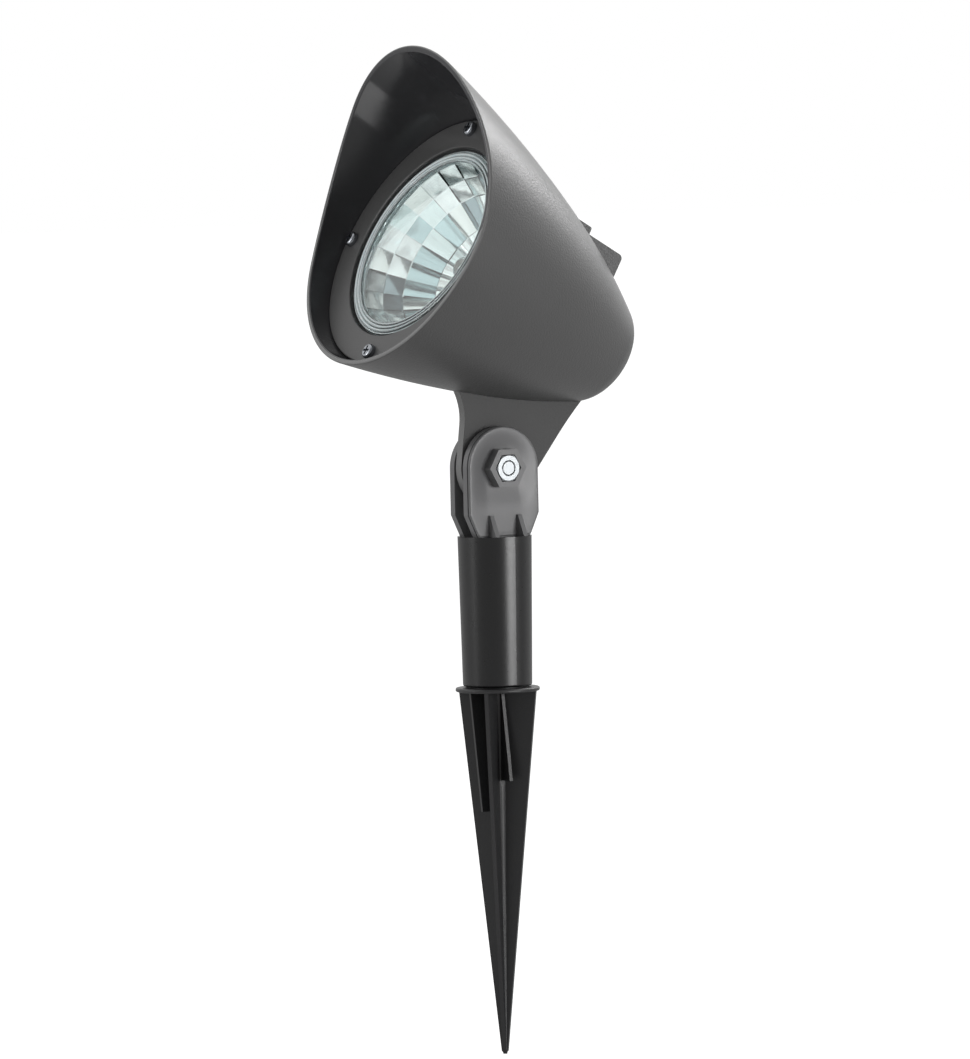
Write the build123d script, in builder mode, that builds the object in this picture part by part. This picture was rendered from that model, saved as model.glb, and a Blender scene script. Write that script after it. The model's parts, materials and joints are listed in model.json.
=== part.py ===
"""Garden spike spotlight.

A hooded reflector lamp tilts on a clevis, the clevis's stem turns on a ground spike.
Frame: +Z up, origin on the spike's axis at the ground line (underside of the collar),
light thrown towards -Y, pivot axis along X with the nut on the +X side.
"""

import os
from math import acos, atan2, cos, hypot, radians, sin, sqrt, tan

from build123d import *

# ---------------------------------------------------------------- driving dimensions, mm and degrees
# fits
running_fit = 0.05  # radial play of a part that turns on another
seat_fit = 0.05  # radial play of a plug or screw in its hole
slide_gap = 0.2  # play beside flat faces that slide on each other
turn_gap = 0.35  # gap between the stem's foot and the collar
bead_play = 0.25  # round the snap bead in its groove

# ground spike
spike_length = 116.8
fin_top_radius = 12.9
fin_tip_radius = 1.0
fin_thickness = 1.3
fin_turn = 39.5  # angle of the first fin from +X
rib_turn = 45.0  # ribs stand midway between fins
core_radius = 2.6
collar_radius = 13.5
collar_thickness = 1.3
collar_round = 0.5
spigot_height = 24.0
spigot_wall = 2.2
spigot_lead = 1.2
bead_height = 0.35
bead_width = 2.0
bead_level = 17.0  # bead above the collar
long_rib_reach = 10.2  # at the collar
long_rib_foot = 6.6
long_rib_length = 38.5
short_rib_reach = 3.2
short_rib_foot = 8.0
short_rib_length = 28.5
rib_thickness = 1.1

# stem
stem_length = 48.15
stem_foot_radius = 11.1
stem_rim_radius = 11.9
stem_bore_radius = 9.2
stem_foot_round = 0.8
plug_radius = 10.3
plug_depth = 12.0
plug_wall = 2.0

# clevis
pivot_above_rim = 21.9
ear_radius = 13.25
ear_straight = 14.8  # the ears' sides run straight to here below the pivot
ear_foot_half = 9.9
ear_sink = 0.8  # the plug's top below the stem's rim
ear_gap = 5.0
ear_round = 0.35
near_ear = 3.5
far_ear = 2.8
groove_back = 0.55  # groove round the near ear's edge, behind its face
groove_width = 0.6
groove_depth = 0.5
tray_margin = 1.5  # sunk face round the nut boss, inside the ear's outline
tray_length = 3.5
tray_depth = 0.9
tray_slope = 62.0  # of its wall from the pivot's direction
tray_round = 1.8
boss_across = 12.0
boss_reach = 6.35  # face of the hex boss beyond the ear's inner face
gusset_spread = 10.7
gusset_thickness = 1.5
gusset_height = 6.8
gusset_reach = 4.1
gusset_top = 0.9

# pivot hardware, M5
bolt_radius = 2.5
bolt_head_across = 8.0
bolt_head_height = 3.5
washer_radius = 5.0
washer_thickness = 1.0
nut_across = 8.0
nut_height = 4.0
nut_proud = 0.25
nut_play = 0.25
hexagon_chamfer = 30.0

# head: stations behind the lens plane, radii about the beam
rest_elevation = 30.0
lens_ahead = 58.3  # lens centre from the pivot, along the beam
lens_above = 50.6  # and square to it
wall = 1.8
rim_land = 5.7  # housing's radius at the lens plane, beyond the screw circle
hood_blank = 36.0
hood_flare = 7.45
shoulder_back = 40.0
shoulder_drop = 12.1
rear_back = 81.9
rear_drop = 19.7
rear_round = 13.0
rim_knee_ahead = 9.8  # where the rim's lower and upper lines would meet
rim_knee_above = 13.4
rim_foot_slope = 0.07
rim_top_slope = 0.611
rim_bend = 109.0
rim_round = 0.5

# lug: knees from the pivot, backwards and up along the head; tops at stations of the housing
lug_thickness = 3.1
lug_disc_radius = 13.2
hub_radius = 7.5
lug_front_knee = (-17.1, 6.4)
lug_front_station = 30.7
lug_rear_knee = (16.2, 20.0)
lug_rear_station = 78.2
lug_root = 1.5  # how far its top reaches into the housing, in walls

# front stack
glass_radius = 35.6
glass_seat = 2.2
glass_flange = 2.7
glass_face = 0.6
glass_draft = 0.4
glass_back_dish = 0.9
glass_dish_share = 0.85
glass_ridges = 3
glass_ridge_margin = 1.4
glass_ridge_pitch = 1.2
gasket_wall = 1.4
gasket_lip = 0.7
gasket_lap = 2.2
gasket_rear_lap = 0.7
lens_lap = 1.7
bezel_ahead = 0.5
bezel_thickness = 2.6
bezel_play = 0.25
bezel_round = 0.5
ledge_thickness = 2.5
screw_count = 4
screw_head_radius = 2.5
screw_head_height = 1.9
screw_radius = 1.4
screw_length = 7.6
screw_boss_radius = 3.0
boss_play = 0.2

# reflector
mouth_lap = 3.8
mouth_play = 0.2
focal_length = 9.0
reflector_wall = 1.4
flange_thickness = 0.9
facet_count = 24
facet_shares = (1.0, 0.9, 0.79, 0.58, 0.38, 0.22)  # of the mouth's radius
neck_radius = 9.5
neck_proud = 2.1  # neck's end behind the bowl's vertex
post_spread = 26.0
post_radius = 2.4
post_screw_depth = 5.0
plate_thickness = 1.0
plate_margin = 4.0
plate_play = 0.2
plate_screw_length = 5.5

# lamp, holder and leads
capsule_radius = 4.5
capsule_length = 19.0
pinch_length = 5.5
pinch_width = 9.4
pinch_thickness = 3.4
pin_pitch = 6.35
pin_radius = 0.63
pin_length = 6.0
pin_play = 0.5
holder_flange_radius = 9.0
holder_flange = 2.0
holder_width = 14.4
holder_depth = 9.4
holder_length = 12.0
lead_radius = 0.9
lead_play = 0.3
lead_entry = 3.0
lead_loop = 5.0
lead_drop = 3.2  # the leads come forward this far under the wiring box
lead_turn = 3.9  # and turn up this far ahead of it
lead_rise = 4.2  # above the well's floor
lead_bend = 3.0
small_screw_radius = 1.2
small_head_radius = 2.2
small_head_height = 1.3

# wiring box on the rear of the housing's top
box_half_width = 12.0
box_proud = 4.5  # its top above the skin at its rear
box_depth = 14.7
box_wall = 2.0
box_rear = 63.1
box_front_wall = 4.0
box_corner = 1.5
land_rise = 2.4  # step from the box up to the land ahead of it
land_front = 40.0
land_back = 48.2
lid_thickness = 2.0
lid_below = 0.1
lid_play = 0.15
lid_tongue = 1.8
tongue_half_width = 8.0
tongue_thickness = 1.2
lid_gasket_thickness = 0.6
lid_ledge = 1.0
lid_recess = 1.4
lid_boss_radius = 2.3
lid_screw_length = 6.0
screw_end_play = 0.3
cable_passage_radius = 2.8
cable_passage_offset = 5.5
cable_passage_rise = 2.9
block_play = 0.1
block_width = 14.0
block_length = 6.6
block_height = 8.5
block_entry = 2.5
block_peg_radius = 0.9
block_peg_height = 1.6
block_screw_pitch = 3.4
clamp_screw_radius = 1.3
clamp_sink = 0.4
clamp_depth = 2.9

# cable inlet
inlet_radius = 2.6
inlet_hole = 4.5
inlet_flange_radius = 6.0
inlet_flange = 1.2

# ---------------------------------------------------------------- levels and planes worked out from them
foot_level = collar_thickness + turn_gap
rim_level = foot_level + stem_length
pivot_level = rim_level + pivot_above_rim
plug_level = rim_level - ear_sink
inner_face = ear_gap / 2
near_face = inner_face + near_ear
far_face = inner_face + far_ear
boss_face = inner_face + boss_reach
nut_face = boss_face + nut_proud

gasket_radius = glass_radius + gasket_wall
gasket_inner = glass_radius - gasket_lap
gasket_rear_inner = glass_radius - gasket_rear_lap
lens_opening = glass_radius - lens_lap
screw_circle = gasket_radius + screw_boss_radius + boss_play
lens_station_radius = screw_circle + rim_land
hood_radius = lens_station_radius + hood_flare
shoulder_radius = lens_station_radius - shoulder_drop
rear_radius = shoulder_radius - rear_drop

gasket_front = glass_seat - gasket_lip
gasket_back = glass_seat + glass_flange
ledge_front = gasket_back + flange_thickness
ledge_back = ledge_front + ledge_thickness
boss_front = bezel_thickness - bezel_ahead

mouth_radius = glass_radius - mouth_lap
ledge_opening = mouth_radius + reflector_wall + mouth_play
facet_rings = [share * mouth_radius for share in facet_shares]
vertex_back = ledge_front + mouth_radius**2 / (4 * focal_length)
neck_back = vertex_back + neck_proud
plate_front = neck_back + holder_flange
holder_back = plate_front + holder_length
pinch_back = neck_back - pinch_length
capsule_tip_back = neck_back - capsule_length

rise = radians(rest_elevation)
beam = Vector(0, -cos(rise), sin(rise))
head_up = Vector(0, sin(rise), cos(rise))
pivot = Vector(0, 0, pivot_level)
lens_centre = pivot + beam * lens_ahead + head_up * lens_above
beam_axis = Axis(lens_centre, beam)
lens_plane = Plane(origin=lens_centre, x_dir=(1, 0, 0), z_dir=beam)
head_side = Plane(origin=lens_centre, x_dir=-beam, z_dir=(1, 0, 0))
lug_side = Plane(origin=pivot, x_dir=-beam, z_dir=(1, 0, 0))


def station(back):
    """Plane square to the beam, `back` behind the lens plane, facing out of the lamp."""
    return lens_plane.offset(-back)


def above(height):
    """Plane along the beam, `height` over it: x across the head, y towards its rear."""
    origin = lens_centre + head_up * height
    return Plane(origin=origin, x_dir=(1, 0, 0), z_dir=head_up)


def across(x):
    """Upright plane square to the pivot, through it at `x`: x towards +Y, y up."""
    return Plane(origin=(x, 0, pivot_level), x_dir=(0, 1, 0), z_dir=(1, 0, 0))


def upright(turn):
    """Plane through the spike's axis: x outward at `turn` degrees from +X, y up."""
    a = radians(turn)
    return Plane(origin=(0, 0, 0), x_dir=(cos(a), sin(a), 0), z_dir=(sin(a), -cos(a), 0))


def finish(piece, name):
    """Names a finished piece and writes its file."""
    piece.part.label = name
    export_step(piece.part, f"parts/{name}.step")


os.makedirs("parts", exist_ok=True)

# ---------------------------------------------------------------- spike, stem and clevis
with BuildPart() as ground_spike:
    with BuildSketch(Plane.XY):
        Circle(collar_radius)
    extrude(amount=collar_thickness)
    fillet(ground_spike.edges().filter_by(GeomType.CIRCLE), collar_round)
    # spigot: a thin-walled stub with a snap bead and a lead-in
    spigot_radius = stem_bore_radius - running_fit
    spigot_top = collar_thickness + spigot_height
    bead_base = collar_thickness + bead_level
    with BuildSketch(upright(fin_turn)):
        with BuildLine():
            Polyline(
                (spigot_radius, bead_base),
                (spigot_radius, collar_thickness / 2),
                (0, collar_thickness / 2),
                (0, collar_thickness + spigot_wall),
                (spigot_radius - spigot_wall, collar_thickness + spigot_wall),
                (spigot_radius - spigot_wall, spigot_top),
                (spigot_radius - spigot_lead, spigot_top),
                (spigot_radius, spigot_top - spigot_lead),
                (spigot_radius, bead_base + bead_width),
            )
            ThreePointArc(
                (spigot_radius, bead_base + bead_width),
                (spigot_radius + bead_height, bead_base + bead_width / 2),
                (spigot_radius, bead_base),
            )
        make_face()
    revolve(axis=Axis.Z)
    # core that carries the fins
    with BuildSketch(upright(fin_turn)):
        with BuildLine():
            Polyline(
                (0, collar_thickness / 2),
                (core_radius, collar_thickness / 2),
                (fin_tip_radius, fin_tip_radius - spike_length),
                (0, -spike_length),
                close=True,
            )
        make_face()
    revolve(axis=Axis.Z)
    for turn in (fin_turn, fin_turn + 90):
        with BuildSketch(upright(turn)):
            with BuildLine():
                Polyline(
                    (-fin_top_radius, collar_thickness / 2),
                    (fin_top_radius, collar_thickness / 2),
                    (fin_tip_radius, fin_tip_radius - spike_length),
                    (0, -spike_length),
                    (-fin_tip_radius, fin_tip_radius - spike_length),
                    close=True,
                )
            make_face()
        extrude(amount=fin_thickness / 2, both=True)
    long_rib = (fin_turn + rib_turn, long_rib_reach, long_rib_foot, long_rib_length)
    short_rib = (fin_turn - rib_turn, short_rib_reach, short_rib_foot, short_rib_length)
    for turn, top_reach, foot_reach, length in (long_rib, short_rib):
        with BuildSketch(upright(turn), upright(turn + 180)):
            with BuildLine():
                Polyline(
                    (0, collar_thickness / 2),
                    (top_reach, collar_thickness / 2),
                    (foot_reach, -length),
                    (0, -length),
                    close=True,
                )
            make_face()
        extrude(amount=rib_thickness / 2, both=True)
finish(ground_spike, "ground_spike")

with BuildPart() as stem_tube:
    socket_radius = plug_radius + seat_fit
    socket_floor = plug_level - plug_depth
    bead_groove_radius = stem_bore_radius + bead_height + bead_play
    with BuildSketch(Plane.XZ):
        with BuildLine():
            Polyline(
                (stem_bore_radius, foot_level),
                (stem_foot_radius, foot_level),
                (stem_rim_radius, rim_level),
                (socket_radius, rim_level),
                (socket_radius, socket_floor),
                (stem_bore_radius, socket_floor),
                close=True,
            )
        make_face()
        with Locations((0, bead_base + bead_width / 2)):
            Rectangle(2 * bead_groove_radius, bead_width + 2 * bead_play, mode=Mode.SUBTRACT)
    revolve(axis=Axis.Z)
    foot_edge = stem_tube.edges().filter_by(GeomType.CIRCLE).group_by(Axis.Z)[0].sort_by(SortBy.RADIUS)[-1]
    fillet(foot_edge, stem_foot_round)
finish(stem_tube, "stem_tube")



def ear_edges():
    """Outline of an ear about the pivot: round top, straight sides, cheeks drawn in to the rim."""
    foot = -pivot_above_rim
    with BuildLine() as outline:
        Polyline(
            (ear_radius, 0),
            (ear_radius, -ear_straight),
            (ear_foot_half, foot),
            (-ear_foot_half, foot),
            (-ear_radius, -ear_straight),
            (-ear_radius, 0),
        )
        ThreePointArc((-ear_radius, 0), (0, ear_radius), (ear_radius, 0))
    return outline.edges()


def turned_hexagon(size, length):
    """Hexagon `size` across flats and `length` high, its corners turned off at both ends."""
    corner = size / sqrt(3)
    drop = (corner - size / 2) * tan(radians(hexagon_chamfer))
    with BuildPart() as blank:
        with BuildSketch():
            RegularPolygon(size / 2, 6, major_radius=False)
        extrude(amount=length)
        with BuildSketch(Plane.XZ):
            with BuildLine():
                Polyline(
                    (0, 0),
                    (size / 2, 0),
                    (corner, drop),
                    (corner, length - drop),
                    (size / 2, length),
                    (0, length),
                    close=True,
                )
            make_face()
        revolve(axis=Axis.Z, mode=Mode.INTERSECT)
    return blank.part


with BuildPart() as clevis_yoke:
    for inner, outer in ((inner_face, near_face), (-inner_face, -far_face)):
        with BuildSketch(across(inner)):
            make_face(ear_edges())
        extrude(amount=outer - inner)
    outlines = clevis_yoke.edges().filter_by(lambda e: e.center().Z > rim_level + ear_round)
    fillet(outlines.group_by(Axis.X)[-1] + outlines.group_by(Axis.X)[0], ear_round)
    # groove round the near ear's edge
    with BuildSketch(across(near_face - groove_back)):
        make_face(ear_edges())
        offset(amount=-groove_depth, kind=Kind.INTERSECTION, mode=Mode.SUBTRACT)
    extrude(amount=-groove_width, mode=Mode.SUBTRACT)
    # sunk tray round the nut boss
    with BuildSketch(across(near_face)):
        with Locations((0, -tray_length / 2)):
            SlotCenterToCenter(tray_length, 2 * (ear_radius - tray_margin), rotation=90)
    extrude(amount=-tray_depth, taper=tray_slope, mode=Mode.SUBTRACT)
    tray_floor = clevis_yoke.faces(Select.LAST).filter_by(Axis.X).sort_by(Axis.X)[0]
    fillet(tray_floor.edges(), tray_round)
    with BuildSketch(across(inner_face)):
        RegularPolygon(boss_across / 2, 6, major_radius=False)
    extrude(amount=boss_reach)
    # plug in the stem, with the ears' roots standing on it inside the rim
    with BuildSketch(Plane.XY.offset(plug_level)):
        Circle(plug_radius)
    extrude(amount=-plug_depth)
    with BuildSketch(Plane.XY.offset(plug_level - plug_depth)):
        Circle(plug_radius - plug_wall)
    extrude(amount=plug_depth - plug_wall, mode=Mode.SUBTRACT)
    for inner, outer in ((inner_face, near_face), (-inner_face, -far_face)):
        with BuildSketch(Plane.XY.offset(plug_level)):
            Circle(plug_radius)
            with Locations(((inner + outer) / 2, 0)):
                Rectangle(abs(outer - inner), 2 * ear_foot_half, mode=Mode.INTERSECT)
        extrude(amount=ear_sink)
    # gussets, two on each ear's outer face, standing on the stem's rim
    for face, side in ((near_face, 1), (-far_face, -1)):
        for offset_y in (-gusset_spread / 2, gusset_spread / 2):
            web = Plane(origin=(face, offset_y, rim_level), x_dir=(side, 0, 0), z_dir=(0, -side, 0))
            with BuildSketch(web):
                with BuildLine():
                    Polyline(
                        (-tray_depth, 0),
                        (gusset_reach, 0),
                        (gusset_top, gusset_height),
                        (-tray_depth, gusset_height),
                        close=True,
                    )
                make_face()
            extrude(amount=gusset_thickness / 2, both=True)
    # pivot bore and nut pocket
    with BuildSketch(across(-far_face)):
        Circle(bolt_radius + 2 * running_fit)
    extrude(amount=far_face + boss_face, mode=Mode.SUBTRACT)
    with BuildSketch(across(nut_face)):
        RegularPolygon(nut_across / 2 + nut_play, 6, major_radius=False)
    extrude(amount=-nut_height, mode=Mode.SUBTRACT)
finish(clevis_yoke, "clevis_yoke")

with BuildPart() as pivot_washer:
    with BuildSketch(across(-far_face)):
        Circle(washer_radius)
        Circle(bolt_radius + 2 * running_fit, mode=Mode.SUBTRACT)
    extrude(amount=-washer_thickness)
finish(pivot_washer, "pivot_washer")

head_face = -far_face - washer_thickness
bolt_head = turned_hexagon(bolt_head_across, bolt_head_height)
with BuildPart() as pivot_bolt:
    with Locations(across(head_face - bolt_head_height)):
        add(bolt_head)
    with BuildSketch(across(head_face)):
        Circle(bolt_radius)
    extrude(amount=nut_face - head_face)
    tip_edge = pivot_bolt.edges().filter_by(GeomType.CIRCLE).sort_by(Axis.X)[-1]
    chamfer(tip_edge, bolt_radius / 6)
finish(pivot_bolt, "pivot_bolt")

nut_blank = turned_hexagon(nut_across, nut_height)
with BuildPart() as pivot_nut:
    with Locations(across(nut_face - nut_height)):
        add(nut_blank)
    with BuildSketch(across(nut_face)):
        Circle(bolt_radius + seat_fit)
    extrude(amount=-nut_height, mode=Mode.SUBTRACT)
finish(pivot_nut, "pivot_nut")

# ---------------------------------------------------------------- housing
# outer line of half the section: flared hood, then the body's arc to the flat back
with BuildLine() as outer_line:
    flare = ThreePointArc(
        (-hood_blank, hood_radius), (0, lens_station_radius), (shoulder_back, shoulder_radius)
    )
    body = TangentArc(flare @ 1, (rear_back, rear_radius), tangent=flare % 1)


def on_arc(arc, inset, back):
    """Point at station `back` of the circle that lies `inset` inside an arc of the outer line."""
    centre = arc.arc_center
    return back, centre.Y + sqrt((arc.radius - inset) ** 2 - (back - centre.X) ** 2)


def housing_section(inset):
    """Edges of half the housing's section, `inset` inside its skin, for a revolve about the beam."""
    shoulder = on_arc(flare, inset, shoulder_back + inset * (flare % 1).Y)
    rear = on_arc(body, inset, rear_back - inset)
    with BuildLine() as section:
        first = ThreePointArc(on_arc(flare, inset, -hood_blank), on_arc(flare, inset, 0), shoulder)
        second = TangentArc(shoulder, rear, tangent=first % 1)
        Polyline(second @ 1, (rear_back - inset, 0), (-hood_blank, 0), first @ 0)
    return section.edges()


def tangent_point(x, y, side):
    """Point of the lug's disc where a line from (x, y) touches it."""
    a = atan2(y, x) + side * acos(lug_disc_radius / hypot(x, y))
    return lug_disc_radius * cos(a), lug_disc_radius * sin(a)


def lug_top(arc, back):
    """Where the lug meets the housing's underside at a station, seen from the pivot."""
    return back - lens_ahead, lens_above - on_arc(arc, lug_root * wall, back)[1]


def inner_wall(back):
    """Radius of the housing's inner face at a station ahead of the shoulder."""
    return on_arc(flare, wall, back)[1]


box_top = on_arc(body, 0, box_rear)[1] + box_proud
land_top = box_top + land_rise
box_floor = box_top - box_depth
well_floor = box_floor + box_wall
lid_seat = box_top - lid_below - lid_thickness - lid_gasket_thickness
well_front = land_back + lid_ledge
well_back = box_rear - box_wall - lid_ledge
well_half = box_half_width - box_wall - lid_ledge
lid_screw_back = well_back + lid_ledge / 2 - lid_boss_radius
block_front = well_front + block_play
lead_height = well_floor + lead_rise

with BuildPart() as housing:
    with BuildSketch(head_side) as skin:
        make_face(housing_section(0))
        back_corner = skin.vertices().group_by(Axis.X)[-1].sort_by(Axis.Y)[-1]
        fillet(back_corner, rear_round)
    revolve(axis=beam_axis)
    # raised land ahead of the wiring box
    with BuildSketch(head_side) as land_side:
        with Locations((land_front, box_floor)):
            Rectangle(land_back - land_front, land_top - box_floor, align=Align.MIN)
        fillet(land_side.vertices().group_by(Axis.X)[-1].sort_by(Axis.Y)[-1], box_corner / 2)
    extrude(amount=box_half_width, both=True)
    # lug: a web that fans out from the hub to the housing's underside
    with BuildSketch(lug_side):
        with BuildLine():
            front_edge = Line(tangent_point(*lug_front_knee, 1), lug_front_knee)
            front_fan = TangentArc(
                front_edge @ 1, lug_top(flare, lug_front_station), tangent=front_edge % 1
            )
            rear_edge = Line(tangent_point(*lug_rear_knee, -1), lug_rear_knee)
            rear_fan = TangentArc(
                rear_edge @ 1, lug_top(body, lug_rear_station), tangent=rear_edge % 1
            )
            Line(front_fan @ 1, rear_fan @ 1)
            Line(front_edge @ 0, rear_edge @ 0)
        make_face()
        Circle(lug_disc_radius)
    extrude(amount=lug_thickness / 2, both=True)
    # hollow
    with BuildSketch(head_side) as hollow:
        make_face(housing_section(wall))
        back_corner = hollow.vertices().group_by(Axis.X)[-1].sort_by(Axis.Y)[-1]
        fillet(back_corner, rear_round - wall)
    revolve(axis=beam_axis, mode=Mode.SUBTRACT)
    # hub between the ears
    with BuildSketch(lug_side):
        Circle(hub_radius)
    extrude(amount=inner_face - slide_gap, both=True)
    with BuildSketch(lug_side):
        Circle(bolt_radius + running_fit)
    extrude(amount=inner_face, both=True, mode=Mode.SUBTRACT)
    # wiring box: a flat-topped block, then its well and the lid's pocket
    with BuildSketch(head_side) as box_side:
        with Locations((well_front - box_front_wall, box_floor)):
            Rectangle(box_rear - well_front + box_front_wall, box_top - box_floor, align=Align.MIN)
        fillet(box_side.vertices().group_by(Axis.X)[-1].sort_by(Axis.Y)[-1], box_corner)
    extrude(amount=box_half_width, both=True)
    with BuildSketch(above(box_top)):
        with Locations((0, land_back)):
            Rectangle(2 * box_half_width, box_rear - land_back, align=(Align.CENTER, Align.MIN))
    extrude(amount=land_top, mode=Mode.SUBTRACT)
    with BuildSketch(above(well_floor)):
        with Locations((0, well_front)):
            Rectangle(2 * well_half, well_back - well_front, align=(Align.CENTER, Align.MIN))
    extrude(amount=box_top, mode=Mode.SUBTRACT)
    with BuildSketch(above(lid_seat)):
        with Locations((0, land_back)):
            Rectangle(
                2 * (well_half + lid_ledge),
                box_rear - box_wall - land_back,
                align=(Align.CENTER, Align.MIN),
            )
    extrude(amount=box_top, mode=Mode.SUBTRACT)
    with BuildSketch(above(lid_seat + lid_gasket_thickness - lid_play)):
        with Locations((0, land_back)):
            Rectangle(
                2 * (tongue_half_width + lid_play),
                lid_tongue + lid_play,
                align=(Align.CENTER, Align.MAX),
            )
    extrude(amount=tongue_thickness + 2 * lid_play, mode=Mode.SUBTRACT)
    with BuildSketch(above(well_floor)):
        with Locations((0, lid_screw_back)):
            Circle(lid_boss_radius)
    extrude(amount=lid_seat - well_floor)
    with BuildSketch(above(lid_seat)):
        with Locations((0, lid_screw_back)):
            Circle(small_screw_radius + seat_fit)
    extrude(amount=-lid_screw_length, mode=Mode.SUBTRACT)
    with BuildSketch(above(well_floor)):
        with Locations((0, block_front + block_length / 2)):
            Circle(block_peg_radius)
    extrude(amount=block_peg_height)
    # passages of the leads and the supply cable into the well
    with BuildSketch(station(well_front)):
        with Locations((pin_pitch / 2, lead_height), (-pin_pitch / 2, lead_height)):
            Circle(lead_radius + lead_play)
    extrude(amount=box_front_wall, mode=Mode.SUBTRACT)
    with BuildSketch(station(box_rear)):
        with Locations((-cable_passage_offset, well_floor + cable_passage_rise)):
            Circle(cable_passage_radius)
    extrude(amount=box_wall + lid_ledge, mode=Mode.SUBTRACT)
    # ledge for the reflector and glass, with four screw bosses
    with BuildSketch(head_side):
        with BuildLine():
            Polyline(
                (ledge_back, inner_wall(ledge_back) + wall / 2),
                (ledge_back, ledge_opening),
                (ledge_front, ledge_opening),
                (ledge_front, inner_wall(ledge_front) + wall / 2),
                close=True,
            )
        make_face()
    revolve(axis=beam_axis)
    with BuildSketch(station(ledge_back)):
        with PolarLocations(screw_circle, screw_count):
            Circle(screw_boss_radius)
        Circle(inner_wall(boss_front), mode=Mode.INTERSECT)
    extrude(amount=ledge_back - boss_front)
    with BuildSketch(station(boss_front)):
        with PolarLocations(screw_circle, screw_count):
            Circle(screw_radius + seat_fit)
    extrude(amount=-(screw_length - bezel_thickness + screw_end_play), mode=Mode.SUBTRACT)
    # hole for the cable's grommet
    with BuildSketch(station(rear_back)):
        Circle(inlet_hole)
    extrude(amount=2 * wall, mode=Mode.SUBTRACT)
    # hood rim: straight below, sweeping forward over the top
    with BuildSketch(head_side):
        with BuildLine():
            foot_y = -2 * hood_radius
            top_y = 2 * hood_radius
            foot_x = -rim_knee_ahead - rim_foot_slope * (foot_y - rim_knee_above)
            top_x = -rim_knee_ahead - rim_top_slope * (top_y - rim_knee_above)
            rim = FilletPolyline(
                (foot_x, foot_y), (-rim_knee_ahead, rim_knee_above), (top_x, top_y), radius=rim_bend
            )
            Polyline(rim @ 1, (-3 * hood_radius, top_y), (-3 * hood_radius, foot_y), rim @ 0)
        make_face()
    extrude(amount=2 * hood_radius, both=True, mode=Mode.SUBTRACT)
    fillet(housing.edges(Select.LAST).filter_by(lambda e: e.length > 2 * wall), rim_round)
finish(housing, "housing")


# ---------------------------------------------------------------- front stack
def pan_screw(head_radius, head_height, shank_radius, shank_length):
    """Cross-head pan screw seated on z = 0, head above."""
    with BuildPart() as screw:
        Cylinder(head_radius, head_height, align=(Align.CENTER, Align.CENTER, Align.MIN))
        fillet(screw.edges().sort_by(Axis.Z)[-1], 0.5 * head_height)
        Cylinder(shank_radius, shank_length, align=(Align.CENTER, Align.CENTER, Align.MAX))
        with BuildSketch(Plane.XY.offset(head_height)):
            Rectangle(1.25 * head_radius, 0.3 * head_radius)
            Rectangle(0.3 * head_radius, 1.25 * head_radius)
        extrude(amount=-0.55 * head_height, mode=Mode.SUBTRACT)
    return screw.part


bezel_screw = pan_screw(screw_head_radius, screw_head_height, screw_radius, screw_length)
with BuildPart() as bezel_screws:
    with Locations(station(-bezel_ahead)):
        with PolarLocations(screw_circle, screw_count):
            add(bezel_screw)
finish(bezel_screws, "bezel_screws")

with BuildPart() as bezel_ring:
    with BuildSketch(head_side) as bezel_half:
        with BuildLine():
            Polyline(
                (-bezel_ahead, lens_opening),
                (-bezel_ahead, inner_wall(-bezel_ahead) - bezel_play),
                (boss_front, inner_wall(boss_front) - bezel_play),
                (boss_front, gasket_radius + seat_fit),
                (gasket_front, gasket_radius + seat_fit),
                (gasket_front, lens_opening),
                close=True,
            )
        make_face()
        fillet(bezel_half.vertices().group_by(Axis.X)[0], bezel_round)
    revolve(axis=beam_axis)
    with BuildSketch(station(-bezel_ahead)):
        with PolarLocations(screw_circle, screw_count):
            Circle(screw_radius + 2 * seat_fit)
    extrude(amount=-bezel_thickness, mode=Mode.SUBTRACT)
finish(bezel_ring, "bezel_ring")

with BuildPart() as glass_gasket:
    with BuildSketch(head_side):
        with BuildLine():
            Polyline(
                (gasket_front, gasket_inner),
                (gasket_front, gasket_radius),
                (ledge_front, gasket_radius),
                (ledge_front, gasket_rear_inner),
                (gasket_back, gasket_rear_inner),
                (gasket_back, glass_radius + seat_fit),
                (glass_seat, glass_radius + seat_fit),
                (glass_seat, gasket_inner),
                close=True,
            )
        make_face()
    revolve(axis=beam_axis)
finish(glass_gasket, "glass_gasket")

with BuildPart() as cover_glass:
    with BuildSketch(head_side) as glass_half:
        with BuildLine():
            Polyline(
                (gasket_back, 0),
                (gasket_back, glass_radius),
                (glass_seat, glass_radius),
                (glass_seat, gasket_inner - seat_fit),
                (glass_face, gasket_inner - glass_draft),
                (glass_face, 0),
                close=True,
            )
        make_face()
        for ridge in range(glass_ridges):
            with Locations((glass_face, gasket_inner - glass_ridge_margin - ridge * glass_ridge_pitch)):
                Circle(glass_ridge_pitch / 2)
        with Locations((gasket_back, 0)):
            Rectangle(
                glass_back_dish,
                glass_dish_share * glass_radius,
                align=(Align.MAX, Align.MIN),
                mode=Mode.SUBTRACT,
            )
    revolve(axis=beam_axis)
finish(cover_glass, "cover_glass")


# ---------------------------------------------------------------- reflector and lamp
def bowl_back(radius):
    """Station of the reflecting paraboloid at a radius."""
    return vertex_back - radius**2 / (4 * focal_length)


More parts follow.
